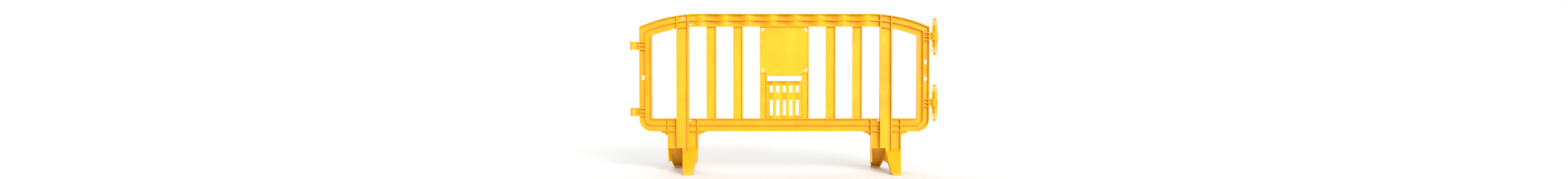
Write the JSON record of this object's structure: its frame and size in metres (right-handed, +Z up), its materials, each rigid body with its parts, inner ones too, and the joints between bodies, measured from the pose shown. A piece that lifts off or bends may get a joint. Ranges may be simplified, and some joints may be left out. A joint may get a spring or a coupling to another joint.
{
  "type": "pedestrian barrier panel",
  "caption": "Moulded plastic crowd-control barrier with a ribbed frame, slats, sign plate and grille, standing on staggered feet, with loops and barbed pins that couple panels end to end.",
  "frame": {"origin": "on the ground under the middle of the panel's length and depth", "axes": "+X along the panel from the loops to the pins, +Y to the back, +Z up"},
  "size_m": [1.984, 0.51, 1.01],
  "materials": {
    "yellow_plastic": "satin moulded polyethylene, coloured through"
  },
  "bodies": {
    "panel": {"top_rail_left": "yellow_plastic", "top_rail_middle": "yellow_plastic", "top_rail_right": "yellow_plastic", "left_stile": "yellow_plastic", "right_stile": "yellow_plastic", "bottom_rail_left": "yellow_plastic", "bottom_rail_middle": "yellow_plastic", "bottom_rail_right": "yellow_plastic", "left_post": "yellow_plastic", "right_post": "yellow_plastic", "left_outer_slat": "yellow_plastic", "left_inner_slat": "yellow_plastic", "right_inner_slat": "yellow_plastic", "right_outer_slat": "yellow_plastic", "sign_plate": "yellow_plastic", "left_centre_bar": "yellow_plastic", "right_centre_bar": "yellow_plastic", "grille": "yellow_plastic", "left_leg_outer_plate": "yellow_plastic", "left_leg_inner_plate": "yellow_plastic", "right_leg_inner_plate": "yellow_plastic", "right_leg_outer_plate": "yellow_plastic", "left_front_foot": "yellow_plastic", "left_rear_foot": "yellow_plastic", "right_front_foot": "yellow_plastic", "right_rear_foot": "yellow_plastic", "lower_loop": "yellow_plastic", "upper_loop": "yellow_plastic", "lower_arm": "yellow_plastic", "upper_arm": "yellow_plastic", "lower_pin": "yellow_plastic", "upper_pin": "yellow_plastic"},
    "lower_pin_bottom_inner_barb": {"lower_pin_bottom_inner_barb": "yellow_plastic"},
    "lower_pin_bottom_outer_barb": {"lower_pin_bottom_outer_barb": "yellow_plastic"},
    "lower_pin_top_inner_barb": {"lower_pin_top_inner_barb": "yellow_plastic"},
    "lower_pin_top_outer_barb": {"lower_pin_top_outer_barb": "yellow_plastic"},
    "upper_pin_bottom_inner_barb": {"upper_pin_bottom_inner_barb": "yellow_plastic"},
    "upper_pin_bottom_outer_barb": {"upper_pin_bottom_outer_barb": "yellow_plastic"},
    "upper_pin_top_inner_barb": {"upper_pin_top_inner_barb": "yellow_plastic"},
    "upper_pin_top_outer_barb": {"upper_pin_top_outer_barb": "yellow_plastic"}
  },
  "joints": [
    {"name": "lower_pin_bottom_inner_barb_flex", "type": "hinge", "parent": "panel", "child": "lower_pin_bottom_inner_barb", "pos_m": [0.95295, 0, 0.37], "axis": [0, -1, 0], "range_deg": [0, 8.5], "stiffness_Nm_per_rad": 0.05},
    {"name": "lower_pin_bottom_outer_barb_flex", "type": "hinge", "parent": "panel", "child": "lower_pin_bottom_outer_barb", "pos_m": [0.97905, 0, 0.37], "axis": [0, 1, 0], "range_deg": [0, 8.5], "stiffness_Nm_per_rad": 0.05},
    {"name": "lower_pin_top_inner_barb_flex", "type": "hinge", "parent": "panel", "child": "lower_pin_top_inner_barb", "pos_m": [0.95295, 0, 0.51], "axis": [0, 1, 0], "range_deg": [0, 8.5], "stiffness_Nm_per_rad": 0.05},
    {"name": "lower_pin_top_outer_barb_flex", "type": "hinge", "parent": "panel", "child": "lower_pin_top_outer_barb", "pos_m": [0.97905, 0, 0.51], "axis": [0, -1, 0], "range_deg": [0, 8.5], "stiffness_Nm_per_rad": 0.05},
    {"name": "upper_pin_bottom_inner_barb_flex", "type": "hinge", "parent": "panel", "child": "upper_pin_bottom_inner_barb", "pos_m": [0.95295, 0, 0.795], "axis": [0, -1, 0], "range_deg": [0, 8.5], "stiffness_Nm_per_rad": 0.05},
    {"name": "upper_pin_bottom_outer_barb_flex", "type": "hinge", "parent": "panel", "child": "upper_pin_bottom_outer_barb", "pos_m": [0.97905, 0, 0.795], "axis": [0, 1, 0], "range_deg": [0, 8.5], "stiffness_Nm_per_rad": 0.05},
    {"name": "upper_pin_top_inner_barb_flex", "type": "hinge", "parent": "panel", "child": "upper_pin_top_inner_barb", "pos_m": [0.95295, 0, 0.935], "axis": [0, 1, 0], "range_deg": [0, 8.5], "stiffness_Nm_per_rad": 0.05},
    {"name": "upper_pin_top_outer_barb_flex", "type": "hinge", "parent": "panel", "child": "upper_pin_top_outer_barb", "pos_m": [0.97905, 0, 0.935], "axis": [0, -1, 0], "range_deg": [0, 8.5], "stiffness_Nm_per_rad": 0.05}
  ]
}
